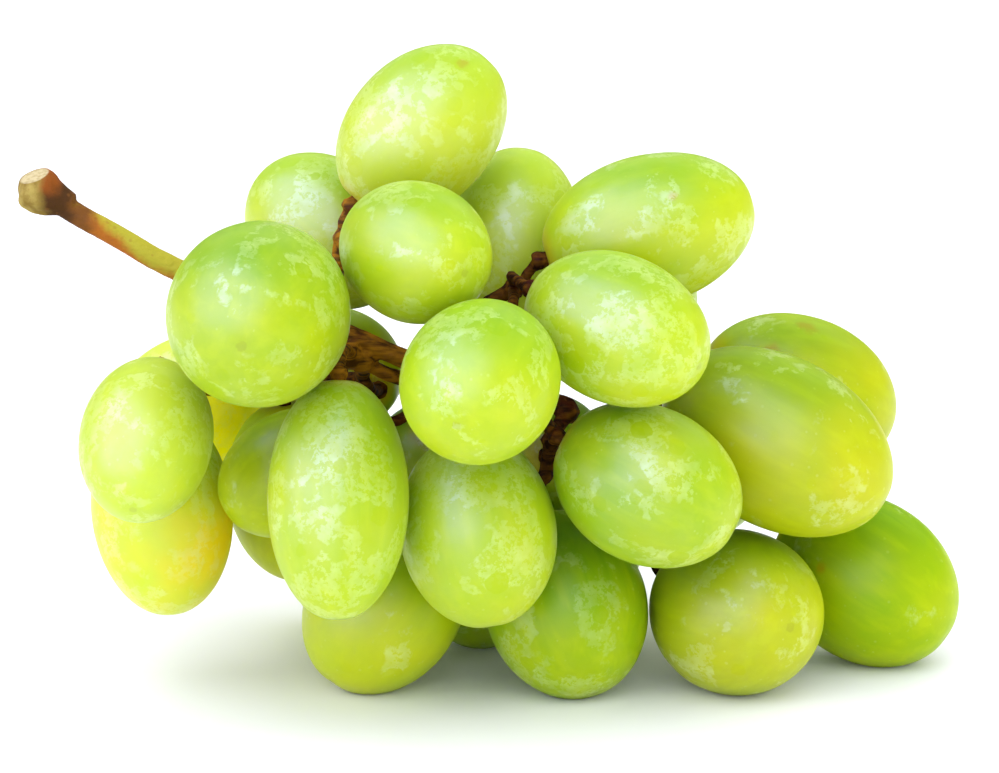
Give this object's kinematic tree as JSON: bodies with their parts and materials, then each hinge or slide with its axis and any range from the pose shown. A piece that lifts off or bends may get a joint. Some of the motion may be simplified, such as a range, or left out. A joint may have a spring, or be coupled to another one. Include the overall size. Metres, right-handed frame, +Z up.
{
  "type": "bunch of grapes",
  "caption": "Bunch of oval green table grapes lying on its side, with a woody branching stem and a cut stalk at one end; fresh fruit for a bowl, table or market stall.",
  "frame": {"origin": "middle of the bunch's bounding box, on the surface that the bunch lies on", "axes": "+Z up; +X along the bunch, away from the cut end of its stalk; -Y towards the front, the side with the open gaps that show the stem"},
  "size_m": [0.1352, 0.0886, 0.0919],
  "materials": {
    "skin": "translucent yellow-green grape skin with a satin gloss, under a thin whitish bloom that is rubbed off in patches",
    "stem": "matt woody stem, dark brown in the bunch, orange-brown to yellow-green along the stalk, pale at the cut end"
  },
  "bodies": {
    "root": {"stem": "stem", "berry_01": "skin", "berry_02": "skin", "berry_03": "skin", "berry_04": "skin", "berry_05": "skin", "berry_06": "skin", "berry_07": "skin", "berry_08": "skin", "berry_09": "skin", "berry_10": "skin", "berry_11": "skin", "berry_12": "skin", "berry_13": "skin", "berry_14": "skin", "berry_15": "skin", "berry_16": "skin", "berry_17": "skin", "berry_18": "skin", "berry_19": "skin", "berry_20": "skin", "berry_21": "skin", "berry_22": "skin", "berry_23": "skin", "berry_24": "skin", "berry_25": "skin", "berry_26": "skin", "berry_27": "skin", "berry_28": "skin", "berry_29": "skin", "berry_30": "skin", "berry_31": "skin", "berry_32": "skin", "berry_33": "skin"}
  },
  "joints": []
}
